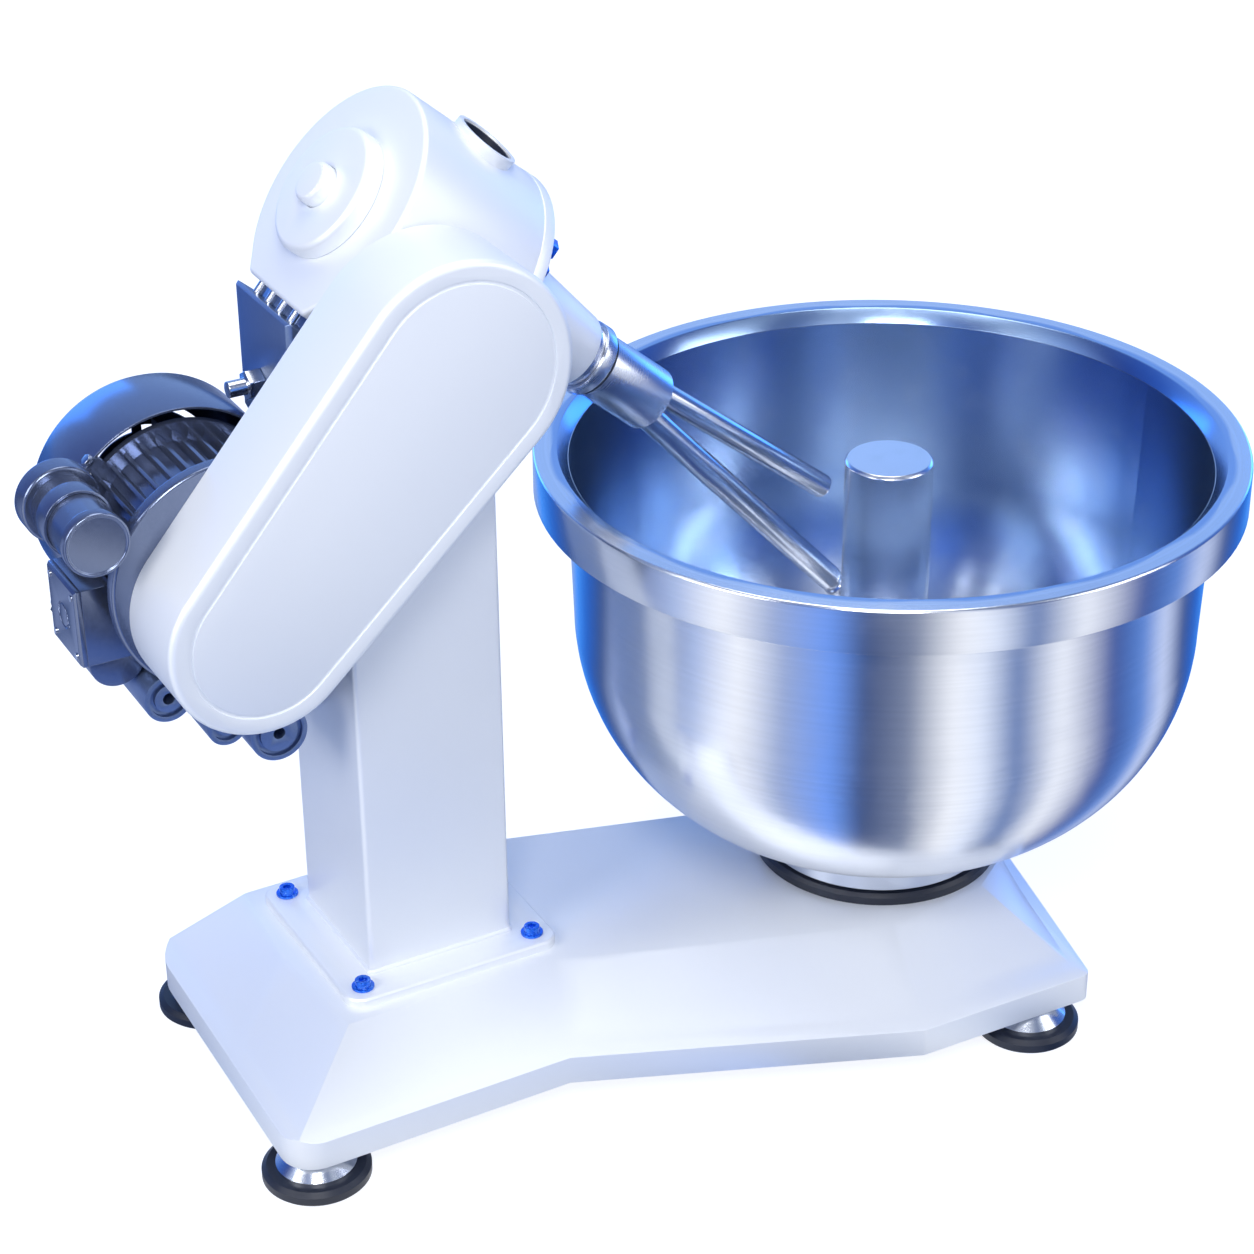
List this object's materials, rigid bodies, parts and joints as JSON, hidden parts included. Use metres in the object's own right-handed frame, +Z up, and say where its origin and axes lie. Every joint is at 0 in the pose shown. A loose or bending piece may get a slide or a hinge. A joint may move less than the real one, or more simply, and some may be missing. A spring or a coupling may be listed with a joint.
{
  "type": "fork dough mixer",
  "caption": "Free-standing fork dough mixer: idle stainless bowl with centre post, slanting two-prong fork, worm gearbox on a square column, belt-driven motor.",
  "frame": {"origin": "middle of the machine's outline on the floor", "axes": "+X from the motor to the bowl, +Y from the belt cover to the back, +Z up"},
  "size_m": [1.2316, 0.72, 0.9968],
  "materials": {
    "enamel": "smooth cool white gloss enamel",
    "enamel_bead": "cool white gloss enamel",
    "dark_casting": "dark blue-grey painted casting",
    "motor_metal": "blue-grey motor paint, satin",
    "stainless": "brushed stainless steel",
    "bright": "polished steel",
    "machined": "turned steel",
    "bolt_blue": "blue plated fastener",
    "black_rubber": "black rubber",
    "belt_rubber": "belt rubber",
    "bronze": "gear bronze",
    "dark_plastic": "dark plastic",
    "cast": "grey cast iron"
  },
  "bodies": {
    "frame": {"base_shell": "enamel", "spindle_bearings": "machined", "bowl_seat": "black_rubber", "column_plate": "enamel", "column_tube": "enamel", "column_bolts": "bolt_blue", "mount_block": "dark_casting", "mount_studs": "machined", "tension_bolt": "bolt_blue", "gearbox_housing": "enamel", "filler_collar": "enamel_bead", "filler_plug": "dark_plastic", "bearing_cap": "enamel", "shaft_end_cap": "enamel", "front_flange": "enamel", "flange_bolts": "bolt_blue", "nose_housing": "enamel", "nose_seal": "black_rubber", "tool_bearings": "machined", "worm_bearings": "machined", "v_belts": "belt_rubber", "belt_cover": "enamel", "cover_backplate": "machined", "motor_flange": "motor_metal", "motor_housing": "motor_metal", "motor_stator": "machined", "rear_shield": "motor_metal", "fan_cowl": "motor_metal", "cowl_screws": "bolt_blue", "capacitor": "motor_metal", "capacitor_cap": "motor_metal", "capacitor_clamp": "motor_metal", "terminal_box": "motor_metal", "terminal_lid": "motor_metal", "cable_gland": "dark_plastic", "motor_bracket": "dark_casting"},
    "fork": {"tool_shaft": "machined", "worm_wheel": "bronze", "fork_sleeve": "bright", "sleeve_collar": "bright", "long_prong": "bright", "short_prong": "bright"},
    "worm": {"worm_shaft": "machined", "driven_pulley": "cast"},
    "rotor": {"motor_shaft": "machined", "rotor_core": "machined", "cooling_fan": "dark_plastic", "drive_pulley": "cast"},
    "bowl": {"bowl_shell": "stainless", "bowl_rim": "stainless", "bowl_post": "stainless", "bowl_spindle": "bright"},
    "foot_front_left": {"foot_pad_front_left": "black_rubber", "foot_dome_front_left": "bright"},
    "foot_back_left": {"foot_pad_back_left": "black_rubber", "foot_dome_back_left": "bright"},
    "foot_front_right": {"foot_pad_front_right": "black_rubber", "foot_dome_front_right": "bright"},
    "foot_back_right": {"foot_pad_back_right": "black_rubber", "foot_dome_back_right": "bright"}
  },
  "joints": [
    {"name": "fork_turn", "type": "hinge", "parent": "frame", "child": "fork", "pos_m": [-0.30075, 0.129, 0.9305], "axis": [0.7615, 0, -0.6481], "continuous": true},
    {"name": "worm_turn", "type": "hinge", "parent": "frame", "child": "worm", "pos_m": [-0.25446, -0.05, 0.80838], "axis": [0, 1, 0], "continuous": true},
    {"name": "rotor_turn", "type": "hinge", "parent": "frame", "child": "rotor", "pos_m": [-0.44925, -0.05, 0.616], "axis": [0, 1, 0], "continuous": true},
    {"name": "bowl_turn", "type": "hinge", "parent": "frame", "child": "bowl", "pos_m": [0.25575, 0, 0.128], "axis": [0, 0, 1], "continuous": true},
    {"name": "foot_front_left_thread", "type": "slide", "parent": "frame", "child": "foot_front_left", "axis": [0, 0, -1], "range_m": [0, 0.012]},
    {"name": "foot_back_left_thread", "type": "slide", "parent": "frame", "child": "foot_back_left", "axis": [0, 0, -1], "range_m": [0, 0.012]},
    {"name": "foot_front_right_thread", "type": "slide", "parent": "frame", "child": "foot_front_right", "axis": [0, 0, -1], "range_m": [0, 0.012]},
    {"name": "foot_back_right_thread", "type": "slide", "parent": "frame", "child": "foot_back_right", "axis": [0, 0, -1], "range_m": [0, 0.012]}
  ],
  "couplings": [
    {"joint": "worm_turn", "follows": "fork_turn", "ratio": -20},
    {"joint": "rotor_turn", "follows": "fork_turn", "ratio": -48}
  ]
}
